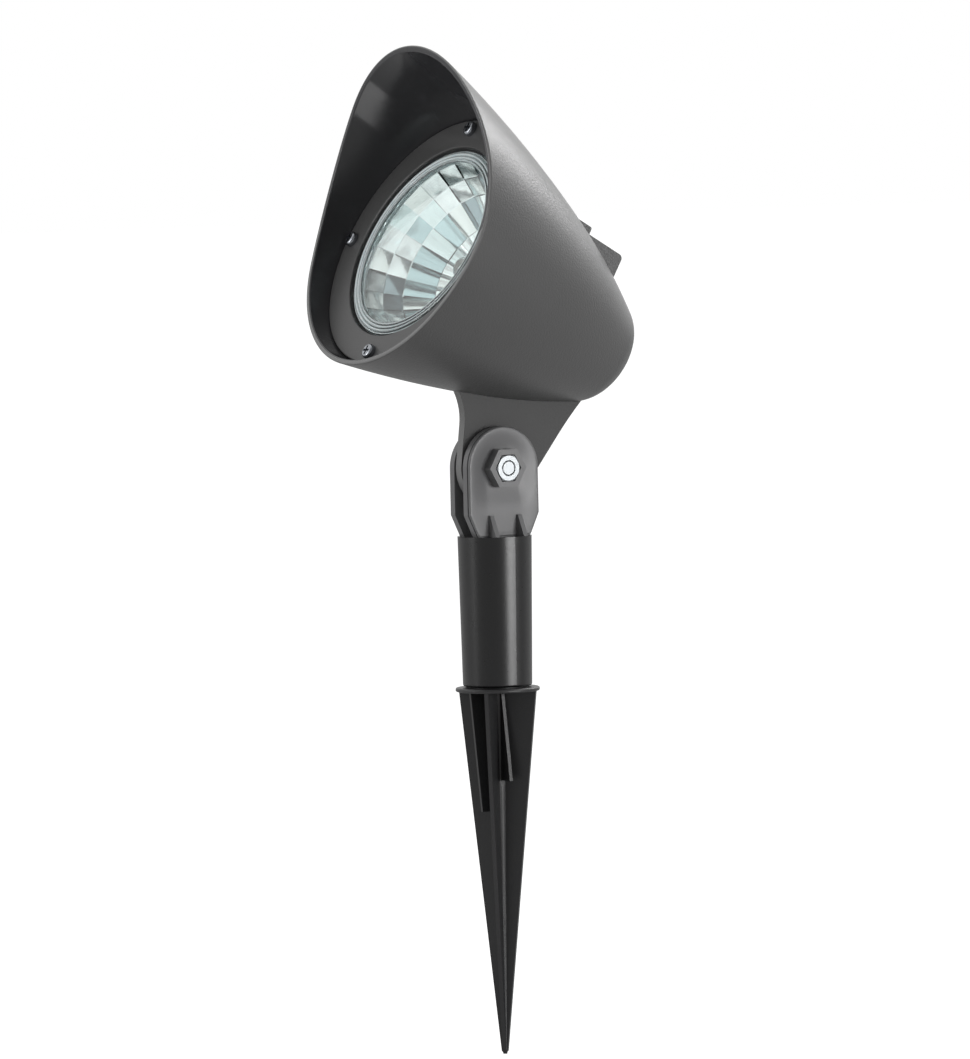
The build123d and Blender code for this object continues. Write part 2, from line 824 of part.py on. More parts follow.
with BuildPart() as reflector:
    with BuildSketch(head_side):
        with BuildLine():
            shell_front = mouth_radius + reflector_wall
            shell_middle = 0.6 * mouth_radius
            bowl = ThreePointArc(
                (ledge_front, shell_front),
                (bowl_back(shell_middle) + reflector_wall, shell_middle + reflector_wall / 2),
                (vertex_back, neck_radius),
            )
            Polyline(
                bowl @ 1,
                (neck_back, neck_radius),
                (neck_back, 0),
                (gasket_back, 0),
                (gasket_back, gasket_rear_inner - mouth_play),
                (ledge_front, gasket_rear_inner - mouth_play),
                bowl @ 0,
            )
        make_face()
    revolve(axis=beam_axis)
    with BuildSketch(station(plate_front)):
        with Locations((post_spread / 2, 0), (-post_spread / 2, 0)):
            Circle(post_radius)
    extrude(amount=plate_front - bowl_back(post_spread / 2))
    # facets: short ones in rings round the mouth, long flutes towards the neck
    for outer_ring, inner_ring in zip(facet_rings, facet_rings[1:]):
        for ring in (outer_ring, inner_ring):
            with BuildSketch(station(bowl_back(ring))):
                RegularPolygon(ring, facet_count)
        loft(ruled=True, mode=Mode.SUBTRACT)
    with BuildSketch(station(ledge_front)):
        RegularPolygon(mouth_radius, facet_count)
    extrude(amount=flange_thickness, mode=Mode.SUBTRACT)
    with BuildSketch(station(neck_back)):
        Circle(facet_rings[-1])
    extrude(amount=neck_back - bowl_back(facet_rings[-1]) + reflector_wall, mode=Mode.SUBTRACT)
    with BuildSketch(station(plate_front)):
        with Locations((post_spread / 2, 0), (-post_spread / 2, 0)):
            Circle(small_screw_radius + seat_fit)
    extrude(amount=post_screw_depth, mode=Mode.SUBTRACT)
finish(reflector, "reflector")

with BuildPart() as lamp_capsule:
    with BuildSketch(head_side):
        with BuildLine():
            nose = ThreePointArc(
                (capsule_tip_back, 0),
                (capsule_tip_back + 0.3 * capsule_radius, 0.72 * capsule_radius),
                (capsule_tip_back + capsule_radius, capsule_radius),
            )
            Polyline(
                nose @ 1,
                (pinch_back - capsule_radius, capsule_radius),
                (pinch_back, pinch_thickness / 2),
                (pinch_back, 0),
                nose @ 0,
            )
        make_face()
    revolve(axis=beam_axis)
    with BuildSketch(station(neck_back)):
        RectangleRounded(pinch_width, pinch_thickness, pinch_thickness / 4)
    extrude(amount=neck_back - pinch_back + capsule_radius)
finish(lamp_capsule, "lamp_capsule")

with BuildPart() as lamp_pins:
    with BuildSketch(station(neck_back)):
        with Locations((pin_pitch / 2, 0), (-pin_pitch / 2, 0)):
            Circle(pin_radius)
    extrude(amount=-pin_length)
finish(lamp_pins, "lamp_pins")

with BuildPart() as lamp_holder:
    with BuildSketch(station(plate_front)):
        Circle(holder_flange_radius)
    extrude(amount=holder_flange)
    with BuildSketch(station(plate_front)):
        RectangleRounded(holder_width, holder_depth, holder_depth / 6)
    extrude(amount=-holder_length)
    with BuildSketch(station(neck_back)):
        with Locations((pin_pitch / 2, 0), (-pin_pitch / 2, 0)):
            Circle(pin_radius + seat_fit)
    extrude(amount=-(pin_length + pin_play), mode=Mode.SUBTRACT)
    with BuildSketch(station(holder_back)):
        with Locations((pin_pitch / 2, 0), (-pin_pitch / 2, 0)):
            Circle(lead_radius + seat_fit)
    extrude(amount=lead_entry, mode=Mode.SUBTRACT)
finish(lamp_holder, "lamp_holder")

with BuildPart() as holder_bracket:
    with BuildSketch(station(plate_front + plate_thickness)):
        RectangleRounded(post_spread + 2 * plate_margin, holder_depth + 2 * plate_margin, plate_margin / 2)
        Rectangle(holder_width + 2 * plate_play, holder_depth + 2 * plate_play, mode=Mode.SUBTRACT)
        with Locations((post_spread / 2, 0), (-post_spread / 2, 0)):
            Circle(small_screw_radius + 2 * seat_fit, mode=Mode.SUBTRACT)
    extrude(amount=plate_thickness)
finish(holder_bracket, "holder_bracket")

plate_screw = pan_screw(small_head_radius, small_head_height, small_screw_radius, plate_screw_length)
with BuildPart() as holder_screws:
    with Locations(-station(plate_front + plate_thickness)):
        with Locations((post_spread / 2, 0), (-post_spread / 2, 0)):
            add(plate_screw)
finish(holder_screws, "holder_screws")

with BuildPart() as lead_wires:
    loop_back = holder_back + lead_loop
    crossing = box_floor - lead_drop
    turn_back = well_front - box_front_wall - lead_turn
    for x in (pin_pitch / 2, -pin_pitch / 2):
        lead_side = Plane(origin=lens_centre + Vector(x, 0, 0), x_dir=-beam, z_dir=(1, 0, 0))
        with BuildLine(lead_side) as lead_path:
            FilletPolyline(
                (holder_back - lead_entry + seat_fit, 0),
                (loop_back, 0),
                (loop_back, crossing),
                (turn_back, crossing),
                (turn_back, lead_height),
                (block_front + block_entry, lead_height),
                radius=lead_bend,
            )
        with BuildSketch(Plane(origin=lead_path.line @ 0, z_dir=lead_path.line % 0)):
            Circle(lead_radius)
        sweep(path=lead_path.line)
finish(lead_wires, "lead_wires")

# ---------------------------------------------------------------- wiring box's contents
with BuildPart() as terminal_block:
    with BuildSketch(above(well_floor)) as block_plan:
        with Locations((0, block_front)):
            Rectangle(block_width, block_length, align=(Align.CENTER, Align.MIN))
        with Locations((0, block_front + block_length / 2)):
            Circle(block_peg_radius + seat_fit, mode=Mode.SUBTRACT)
    extrude(amount=block_height)
    with BuildSketch(station(block_front)):
        with Locations((pin_pitch / 2, lead_height), (-pin_pitch / 2, lead_height)):
            Circle(lead_radius + lead_play)
    extrude(amount=-block_length, mode=Mode.SUBTRACT)
    with BuildSketch(above(well_floor + block_height)):
        with Locations((0, block_front + block_length / 2)):
            with GridLocations(pin_pitch, block_screw_pitch, 2, 2):
                Circle(clamp_screw_radius + seat_fit)
    extrude(amount=-clamp_depth, mode=Mode.SUBTRACT)
finish(terminal_block, "terminal_block")

with BuildPart() as terminal_screws:
    with BuildSketch(above(well_floor + block_height - clamp_sink)):
        with Locations((0, block_front + block_length / 2)):
            with GridLocations(pin_pitch, block_screw_pitch, 2, 2):
                Circle(clamp_screw_radius)
    extrude(amount=clamp_sink - clamp_depth)
    with BuildSketch(above(well_floor + block_height - clamp_sink)):
        with Locations((0, block_front + block_length / 2)):
            with GridLocations(pin_pitch, block_screw_pitch, 2, 2):
                Rectangle(2.2 * clamp_screw_radius, 0.3 * clamp_screw_radius)
    extrude(amount=-clamp_screw_radius / 2, mode=Mode.SUBTRACT)
finish(terminal_screws, "terminal_screws")

lid_half = well_half + lid_ledge - lid_play
lid_front = land_back + lid_play
lid_back = box_rear - box_wall - lid_play

with BuildPart() as lid_gasket:
    with BuildSketch(above(lid_seat)):
        with Locations((0, lid_front)):
            Rectangle(2 * lid_half, lid_back - lid_front, align=(Align.CENTER, Align.MIN))
        with Locations((0, well_front)):
            Rectangle(
                2 * well_half,
                lid_screw_back - lid_boss_radius - well_front,
                align=(Align.CENTER, Align.MIN),
                mode=Mode.SUBTRACT,
            )
        with Locations((0, lid_screw_back)):
            Circle(small_screw_radius + 2 * seat_fit, mode=Mode.SUBTRACT)
    extrude(amount=lid_gasket_thickness)
finish(lid_gasket, "lid_gasket")

with BuildPart() as terminal_lid:
    with BuildSketch(above(lid_seat + lid_gasket_thickness)):
        with Locations((0, lid_front)):
            Rectangle(2 * lid_half, lid_back - lid_front, align=(Align.CENTER, Align.MIN))
    extrude(amount=lid_thickness)
    with BuildSketch(above(lid_seat + lid_gasket_thickness)):
        with Locations((0, lid_front)):
            Rectangle(2 * tongue_half_width, lid_tongue, align=(Align.CENTER, Align.MAX))
    extrude(amount=tongue_thickness)
    with BuildSketch(above(lid_seat + lid_gasket_thickness)):
        with Locations((0, lid_screw_back)):
            Circle(small_screw_radius + 2 * seat_fit)
    extrude(amount=lid_thickness, mode=Mode.SUBTRACT)
    with BuildSketch(above(lid_seat + lid_gasket_thickness + lid_thickness)):
        with Locations((0, lid_screw_back)):
            Circle(small_head_radius + 4 * seat_fit)
    extrude(amount=-lid_recess, mode=Mode.SUBTRACT)
finish(terminal_lid, "terminal_lid")

lid_shank = lid_screw_length + lid_gasket_thickness + lid_thickness - lid_recess - screw_end_play
cover_screw = pan_screw(small_head_radius, small_head_height, small_screw_radius, lid_shank)
with BuildPart() as lid_screw:
    with Locations(above(lid_seat + lid_gasket_thickness + lid_thickness - lid_recess)):
        with Locations((0, lid_screw_back)):
            add(cover_screw)
finish(lid_screw, "lid_screw")

with BuildPart() as cable_grommet:
    with BuildSketch(head_side):
        with BuildLine():
            groove = inlet_hole - seat_fit
            inner_back = rear_back - wall
            Polyline(
                (inner_back - inlet_flange, inlet_radius),
                (inner_back - inlet_flange, inlet_flange_radius - inlet_flange),
                (inner_back, inlet_flange_radius),
                (inner_back, groove),
                (rear_back, groove),
                (rear_back, inlet_flange_radius),
                (rear_back + inlet_flange, inlet_flange_radius - inlet_flange),
                (rear_back + inlet_flange, inlet_radius),
                close=True,
            )
        make_face()
    revolve(axis=beam_axis)
finish(cable_grommet, "cable_grommet")
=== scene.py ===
"""Garden spike spotlight: surfaces, fine detail, stage, lights and camera round the CAD frame."""

import json
import math
import random

import bmesh
import bpy
from bpy.props import FloatProperty, IntProperty, PointerProperty, StringProperty
from mathutils import Matrix, Vector


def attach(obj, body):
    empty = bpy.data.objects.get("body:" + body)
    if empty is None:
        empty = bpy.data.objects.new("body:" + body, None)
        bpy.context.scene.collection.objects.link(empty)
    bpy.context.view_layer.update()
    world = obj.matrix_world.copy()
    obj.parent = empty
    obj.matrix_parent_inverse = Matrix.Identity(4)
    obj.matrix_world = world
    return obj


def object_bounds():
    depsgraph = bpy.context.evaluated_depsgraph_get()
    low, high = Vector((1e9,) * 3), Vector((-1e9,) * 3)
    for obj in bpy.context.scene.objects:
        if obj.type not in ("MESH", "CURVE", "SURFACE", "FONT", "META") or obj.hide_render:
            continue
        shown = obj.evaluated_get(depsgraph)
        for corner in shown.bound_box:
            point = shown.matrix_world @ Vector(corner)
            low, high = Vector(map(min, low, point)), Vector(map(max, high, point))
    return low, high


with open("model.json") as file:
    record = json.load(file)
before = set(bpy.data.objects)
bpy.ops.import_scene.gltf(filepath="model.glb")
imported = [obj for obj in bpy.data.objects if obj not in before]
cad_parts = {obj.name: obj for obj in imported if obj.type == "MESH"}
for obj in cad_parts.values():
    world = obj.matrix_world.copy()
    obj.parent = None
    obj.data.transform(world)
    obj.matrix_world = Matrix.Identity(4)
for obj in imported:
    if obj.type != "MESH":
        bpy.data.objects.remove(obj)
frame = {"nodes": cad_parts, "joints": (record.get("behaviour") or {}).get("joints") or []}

bl_info = {
    "name": "Garden Spike Spotlight",
    "version": (1, 0, 0),
    "blender": (4, 5, 0),
    "location": "View3D > Sidebar > Spotlight",
    "description": "Dresses a hooded spike spotlight: materials, reflector, stage and camera",
    "category": "Object",
}

CAD_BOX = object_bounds()
NODES = frame["nodes"]
MM = 0.001

# the head's own axes at rest, from the tilt joint and the CAD sizes
PIVOT = Vector(next(j for j in frame["joints"] if j["name"] == "head_tilt")["pos_m"])
REST_ELEVATION = math.radians(30.0)
BEAM = Vector((0.0, -math.cos(REST_ELEVATION), math.sin(REST_ELEVATION)))
HEAD_UP = Vector((0.0, math.sin(REST_ELEVATION), math.cos(REST_ELEVATION)))
ACROSS = Vector((1.0, 0.0, 0.0))
LENS_AHEAD_MM = 58.3
LENS_ABOVE_MM = 50.6
LENS_CENTRE = PIVOT + BEAM * LENS_AHEAD_MM * MM + HEAD_UP * LENS_ABOVE_MM * MM


def head_point(back, x, up):
    """A point of the head: millimetres behind the lens plane, across and up."""
    return LENS_CENTRE + (ACROSS * x + HEAD_UP * up - BEAM * back) * MM


def linear(hex_colour):
    """An sRGB hex value as linear red, green, blue and alpha."""
    channels = [int(hex_colour[i : i + 2], 16) / 255 for i in (1, 3, 5)]
    return [c / 12.92 if c <= 0.04045 else ((c + 0.055) / 1.055) ** 2.4 for c in channels] + [1.0]


# ------------------------------------------------------ sizes and colours a user would change
class SpotlightFinish(bpy.types.PropertyGroup):
    """Colours of the visible surfaces"""

    housing: StringProperty(
        name="Housing", description="Colour of the hood and body", default="#505050"
    )
    # the hood's inside colour is darker than the housing's: painted shade of the hood's hollow
    inside: StringProperty(
        name="Hood inside", description="Colour of the hood's inner face", default="#3f3f41"
    )
    # the rim's colour is paler than the housing's: a painted highlight on the hood's front edge
    rim: StringProperty(
        name="Rim", description="Colour of the hood's front edge", default="#757575"
    )
    bezel: StringProperty(
        name="Bezel", description="Colour of the ring round the glass", default="#4a4a4a"
    )
    clevis: StringProperty(
        name="Clevis", description="Colour of the two-eared bracket", default="#6b6b6c"
    )
    stem: StringProperty(
        name="Stem", description="Colour of the tubular stem", default="#0f0f10"
    )
    spike: StringProperty(
        name="Spike", description="Colour of the ground spike", default="#272728"
    )
    glass: StringProperty(
        name="Glass", description="Tint of the cover glass", default="#f7fdfc"
    )
    grain: FloatProperty(
        name="Grain",
        description="Width of one grain of the moulded surface",
        default=0.0006,
        unit="LENGTH",
    )


class SpotlightReflector(bpy.types.PropertyGroup):
    """Sizes of the faceted reflector"""

    mouth: FloatProperty(
        name="Mouth", description="Radius of the bowl's mouth", default=0.0318, unit="LENGTH"
    )
    focus: FloatProperty(
        name="Focus", description="Focal length of the bowl", default=0.009, unit="LENGTH"
    )
    facets: IntProperty(
        name="Facets", description="Facets in each ring", default=24, min=8, max=48
    )
    crown: FloatProperty(
        name="Crown",
        description="Height of a facet's crown over its edges",
        default=0.00016,
        unit="LENGTH",
    )
    tilt: FloatProperty(
        name="Tilt",
        description="Largest tilt of a facet in the tool",
        default=math.radians(3.5),
        subtype="ANGLE",
    )


class SpotlightStage(bpy.types.PropertyGroup):
    """Light levels"""

    key: FloatProperty(
        name="Key", description="Power of the high soft box behind right, in watts", default=9.0
    )
    fill: FloatProperty(
        name="Fill", description="Power of the soft box in front left, in watts", default=3.7
    )
    strip: FloatProperty(
        name="Strip", description="Power of the low box on the right, in watts", default=7.0
    )
    backdrop: FloatProperty(
        name="Backdrop", description="Level of the room behind the object", default=1.0
    )
    dim: FloatProperty(
        name="Dim side", description="Level of the room on the camera's side", default=0.31
    )


# ------------------------------------------------------ node and mesh helpers
def add_node(tree, kind, inputs=None, **settings):
    """Adds a node with its settings; each input takes a socket to link or a value to set."""
    made = tree.nodes.new(kind)
    for key, value in settings.items():
        setattr(made, key, value)
    for key, value in (inputs or {}).items():
        if isinstance(value, bpy.types.NodeSocket):
            tree.links.new(value, made.inputs[key])
        else:
            made.inputs[key].default_value = value
    return made


def new_material(name):
    """An empty node material with its output node."""
    material = bpy.data.materials.new(name)
    material.use_nodes = True
    tree = material.node_tree
    tree.nodes.clear()
    return material, tree, tree.nodes.new("ShaderNodeOutputMaterial")


def close_with(tree, output, shader):
    """Links a shader node to the surface of an output node."""
    tree.links.new(shader.outputs[0], output.inputs["Surface"])


def dress(material, *nodes):
    """Gives CAD nodes their material."""
    for node in nodes:
        slots = NODES[node].data.materials
        slots.clear()
        slots.append(material)


def place(mesh, name, material, body):
    """Links a finished mesh as a piece that rides on a body."""
    piece = bpy.data.objects.new(name, mesh)
    bpy.context.scene.collection.objects.link(piece)
    mesh.materials.append(material)
    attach(piece, body)


def mesh_from(built, name):
    """A smooth-shaded mesh from a finished bmesh."""
    mesh = bpy.data.meshes.new(name)
    built.to_mesh(mesh)
    built.free()
    mesh.shade_smooth()
    return mesh


# ------------------------------------------------------ surfaces
FLOW_WIDTH = 25.0 * MM  # one patch of the melt's flow mottling
ROUGHNESS_SPREAD = 0.06
GRAIN_STRENGTH = 0.6
PLASTIC_IOR = 1.49
METAL_IOR = 1.5  # Blender's default, which every metal keeps


def moulded(name, base, rough, grain, bump, mottle=0.06, ior=PLASTIC_IOR):
    """Moulded plastic: even colour, faint flow mottling and the tool's eroded grain.

    grain is the width of one grain and bump its depth, both in metres.
    """
    material, tree, output = new_material(name)
    where = add_node(tree, "ShaderNodeTexCoord").outputs["Object"]
    flow = add_node(
        tree, "ShaderNodeTexNoise", {"Vector": where, "Scale": 1.0 / FLOW_WIDTH, "Detail": 3.0}
    )
    shade = add_node(
        tree,
        "ShaderNodeMapRange",
        {"Value": flow.outputs["Fac"], "To Min": 1.0 - mottle, "To Max": 1.0 + mottle},
    )
    colour = add_node(
        tree,
        "ShaderNodeMix",
        {"Factor": 1.0, 6: linear(base), 7: shade.outputs["Result"]},
        data_type="RGBA",
        blend_type="MULTIPLY",
    )
    grit = add_node(
        tree, "ShaderNodeTexNoise", {"Vector": where, "Scale": 1.0 / grain, "Detail": 2.0}
    ).outputs["Fac"]
    uneven = add_node(
        tree,
        "ShaderNodeMapRange",
        {"Value": grit, "To Min": rough - ROUGHNESS_SPREAD, "To Max": rough + ROUGHNESS_SPREAD},
    )
    relief = add_node(
        tree, "ShaderNodeBump", {"Height": grit, "Strength": GRAIN_STRENGTH, "Distance": bump}
    )
    surface = add_node(
        tree,
        "ShaderNodeBsdfPrincipled",
        {
            "Base Color": colour.outputs[2],
            "Roughness": uneven.outputs["Result"],
            "Normal": relief.outputs["Normal"],
            "IOR": ior,
        },
    )
    close_with(tree, output, surface)
    return material


def surface_of(material):
    """A material's tree and its shader node."""
    tree = material.node_tree
    return tree, tree.nodes["Principled BSDF"]


def plain_metal(name, base, rough, grain, bump, mottle=0.04):
    """Plated, machined or polished metal with a fine uneven reflection."""
    material = moulded(name, base, rough, grain, bump, mottle, METAL_IOR)
    _, surface = surface_of(material)
    surface.inputs["Metallic"].default_value = 1.0
    return material


def off_beam_axis(tree, where):
    """The part of a head position that stands square to the beam's axis."""
    offset = add_node(
        tree, "ShaderNodeVectorMath", {0: where, 1: LENS_CENTRE}, operation="SUBTRACT"
    ).outputs[0]
    along = add_node(tree, "ShaderNodeVectorMath", {0: offset, 1: BEAM}, operation="PROJECT")
    return add_node(
        tree, "ShaderNodeVectorMath", {0: offset, 1: along.outputs[0]}, operation="SUBTRACT"
    ).outputs[0]


# ------------------------------------------------------ operators, one for each group of pieces
# the lug's half thickness, how squarely its flat sides face across, and how dull they are
LUG_HALF = 2.6 * MM
FLAT_SIDE = 0.9
LUG_ROUGHNESS = 0.72
# how far a face turns towards the beam where the rim's painted highlight begins and is full
RIM_TURN = (0.3, 0.5)
INSIDE_ROUGHNESS = 0.1
INSIDE_STRENGTH = 0.05


class SPOTLIGHT_OT_housing(bpy.types.Operator):
    """Grained outside and smooth inside of the hooded housing, with painted shade inside the hood
    and a painted highlight on its rim
    """

    bl_idname = "spotlight.housing"
    bl_label = "Housing"

    def execute(self, context):
        finish = context.scene.spotlight_finish
        skin = {"base": finish.housing, "rough": 0.4, "grain": finish.grain, "bump": 0.00016}
        # ABS, moulded: the tool's eroded grain scatters light, so edges pale softly against it
        dress(moulded("abs_moulded_grain", **skin), "terminal_lid")
        # the same ABS, left glossy inside the hood by the tool's polished core side; the inside's
        # darker, nearly black colour is painted shade of the hood's hollow
        shell = moulded("abs_moulded_shell", **skin)
        tree, surface = surface_of(shell)
        inside = self.facing_beam_axis(tree)
        colour = surface.inputs["Base Color"].links[0].from_socket
        rough = surface.inputs["Roughness"].links[0].from_socket
        relief = surface.inputs["Normal"].links[0].from_node
        # the rim and the wiring box's front, as they turn to face along the beam, come out paler: a
        # painted highlight
        painted_rim_highlight = add_node(
            tree,
            "ShaderNodeMix",
            {"Factor": self.facing_forward(tree), 6: colour, 7: linear(finish.rim)},
            data_type="RGBA",
        )
        # the inside's darker colour mixed in here is painted shade
        polished = add_node(
            tree,
            "ShaderNodeMix",
            {"Factor": inside, 6: painted_rim_highlight.outputs[2], 7: linear(finish.inside)},
            data_type="RGBA",
        )
        # the lug's sides come from the tool's slides, left duller than the rest
        dull = add_node(
            tree,
            "ShaderNodeMix",
            {"Factor": self.lug_sides(tree), 2: rough, 3: LUG_ROUGHNESS},
            data_type="FLOAT",
        )
        smooth, flat = (
            add_node(
                tree, "ShaderNodeMix", {"Factor": inside, 2: outer, 3: inner}, data_type="FLOAT"
            ).outputs[0]
            for outer, inner in (
                (dull.outputs[0], INSIDE_ROUGHNESS),
                (GRAIN_STRENGTH, INSIDE_STRENGTH),
            )
        )
        tree.links.new(polished.outputs[2], surface.inputs["Base Color"])
        tree.links.new(smooth, surface.inputs["Roughness"])
        tree.links.new(flat, relief.inputs["Strength"])
        dress(shell, "housing")
        return {"FINISHED"}

    def facing_beam_axis(self, tree):
        """1 where a surface faces the beam's axis, as the hood's inside does, else 0."""
        coordinates = add_node(tree, "ShaderNodeTexCoord").outputs
        radial = off_beam_axis(tree, coordinates["Object"])
        outward = add_node(
            tree,
            "ShaderNodeVectorMath",
            {0: radial, 1: coordinates["Normal"]},
            operation="DOT_PRODUCT",
        )
        return add_node(
            tree, "ShaderNodeMath", {0: outward.outputs["Value"], 1: 0.0}, operation="LESS_THAN"
        ).outputs[0]

    def facing_forward(self, tree):
        """0 to 1 as a surface turns to face along the beam, as the hood's rim does: the mask of its
        painted highlight.
        """
        normal = add_node(tree, "ShaderNodeTexCoord").outputs["Normal"]
        forward = add_node(
            tree, "ShaderNodeVectorMath", {0: normal, 1: BEAM}, operation="DOT_PRODUCT"
        ).outputs["Value"]
        return add_node(
            tree,
            "ShaderNodeMapRange",
            {"Value": forward, "From Min": RIM_TURN[0], "From Max": RIM_TURN[1]},
        ).outputs["Result"]

    def lug_sides(self, tree):
        """1 on the flat sides of the lug, else 0."""
        coordinates = add_node(tree, "ShaderNodeTexCoord").outputs
        spot, normal = (
            add_node(tree, "ShaderNodeSeparateXYZ", {0: coordinates[key]}).outputs["X"]
            for key in ("Object", "Normal")
        )
        middle = add_node(
            tree, "ShaderNodeMath", {0: spot, 1: 0.0, 2: LUG_HALF}, operation="COMPARE"
        )
        turned = add_node(tree, "ShaderNodeMath", {0: normal}, operation="ABSOLUTE")
        flat = add_node(
            tree, "ShaderNodeMath", {0: turned.outputs[0], 1: FLAT_SIDE}, operation="GREATER_THAN"
        )
        return add_node(
            tree,
            "ShaderNodeMath",
            {0: middle.outputs[0], 1: flat.outputs[0]},
            operation="MULTIPLY",
        ).outputs[0]


# radius at which the glass's clear middle gives way to its ribs and their painted highlight, and
# over what width
CLEAR_RADIUS = 29.0 * MM
RIB_FADE = 0.6 * MM
# how much painted highlight, an opaque pale shade, a rib's outer and inner slope carry, and how far
# they turn out from the beam's axis
RIB_CLEAR = 0.15
RIB_HIGHLIGHT = 0.95
RIB_TURN = (0.3, -0.5)
RIPPLES_PER_MM = 0.9


class SPOTLIGHT_OT_front(bpy.types.Operator):
    """Bezel, its screws, the seal and the cover glass"""

    bl_idname = "spotlight.front"
    bl_label = "Front"

    def execute(self, context):
        finish = context.scene.spotlight_finish
        # ABS, moulded in a finer tool than the housing
        satin = moulded(
            "abs_moulded_satin", finish.bezel, rough=0.38, grain=finish.grain * 0.8, bump=0.00003
        )
        dress(satin, "bezel_ring")
        # steel, blackened and oiled: dark with a tight highlight
        black = plain_metal("steel_blackened", "#9da0a5", rough=0.22, grain=0.0006, bump=0.00003)
        dress(black, "bezel_screws", "lid_screw")
        # EPDM rubber, moulded: matt and nearly black
        rubber = moulded("epdm_moulded", "#17181a", rough=0.62, grain=0.0005, bump=0.00002)
        dress(rubber, "glass_gasket", "lid_gasket", "cable_grommet")
        dress(self.pressed_glass(finish), "cover_glass")
        return {"FINISHED"}

    def pressed_glass(self, finish):
        """Soda-lime glass, pressed and fire polished: clear, with a rim of ribs whose inward slopes
        carry a painted highlight.
        """
        glass, tree, output = new_material("glass_pressed")
        coordinates = add_node(tree, "ShaderNodeTexCoord").outputs
        radial = off_beam_axis(tree, coordinates["Object"])
        radius = add_node(tree, "ShaderNodeVectorMath", {0: radial}, operation="LENGTH")
        outward = add_node(tree, "ShaderNodeVectorMath", {0: radial}, operation="NORMALIZE")
        slope = add_node(
            tree,
            "ShaderNodeVectorMath",
            {0: outward.outputs[0], 1: coordinates["Normal"]},
            operation="DOT_PRODUCT",
        )
        # the slopes towards the middle carry a painted highlight, an opaque pale shade; the others
        # stay mostly clear
        highlit_slope_share = add_node(
            tree,
            "ShaderNodeMapRange",
            {
                "Value": slope.outputs["Value"],
                "From Min": RIB_TURN[0],
                "From Max": RIB_TURN[1],
                "To Min": RIB_CLEAR,
                "To Max": RIB_HIGHLIGHT,
            },
        )
        rib_painted_highlight_share = add_node(
            tree,
            "ShaderNodeMapRange",
            {
                "Value": radius.outputs["Value"],
                "From Min": CLEAR_RADIUS,
                "From Max": CLEAR_RADIUS + RIB_FADE,
                "To Max": highlit_slope_share.outputs["Result"],
            },
        )
        clear = add_node(
            tree,
            "ShaderNodeBsdfPrincipled",
            {
                "Base Color": linear(finish.glass),
                "Roughness": 0.01,
                "IOR": 1.5,
                "Transmission Weight": 1.0,
            },
        )
        ripple = add_node(
            tree,
            "ShaderNodeTexNoise",
            {"Vector": coordinates["Object"], "Scale": RIPPLES_PER_MM / MM, "Detail": 2.0},
        )
        # the painted highlight's shade wanders at random between pale blue-green and white
        tint = add_node(
            tree,
            "ShaderNodeMix",
            {"Factor": ripple.outputs["Fac"], 6: linear("#cfe6ea"), 7: linear("#ffffff")},
            data_type="RGBA",
        )
        # opaque pale surface: the painted highlight on the ribs
        ribs = add_node(
            tree,
            "ShaderNodeBsdfPrincipled",
            {"Base Color": tint.outputs[2], "Roughness": 0.18, "IOR": 1.5},
        )
        mixed = add_node(
            tree,
            "ShaderNodeMixShader",
            {0: rib_painted_highlight_share.outputs["Result"], 1: clear.outputs[0], 2: ribs.outputs[0]},
        )
        close_with(tree, output, mixed)
        return glass


# rings of facets as shares of the mouth's radius; the first two are square, the others fluted
FACET_RINGS = (1.0, 0.9, 0.79, 0.58, 0.38, 0.22)
FIRST_FLUTED = 2
FACET_CUTS = 8
FACET_LIFT = 0.00012
FACET_MARGIN = 0.02
FLUTE_CROWN = 3.4  # times a square facet's crown
BOWL_FRONT_MM = 5.8
TOOL_SEED = 11
# shades of the anodic film and the share at which each starts
FILM = ((0.0, "#f6f8f8"), (0.3, "#e2ecec"), (0.52, "#c3d7da"), (0.72, "#eceeec"), (0.86, "#98a6ab"))


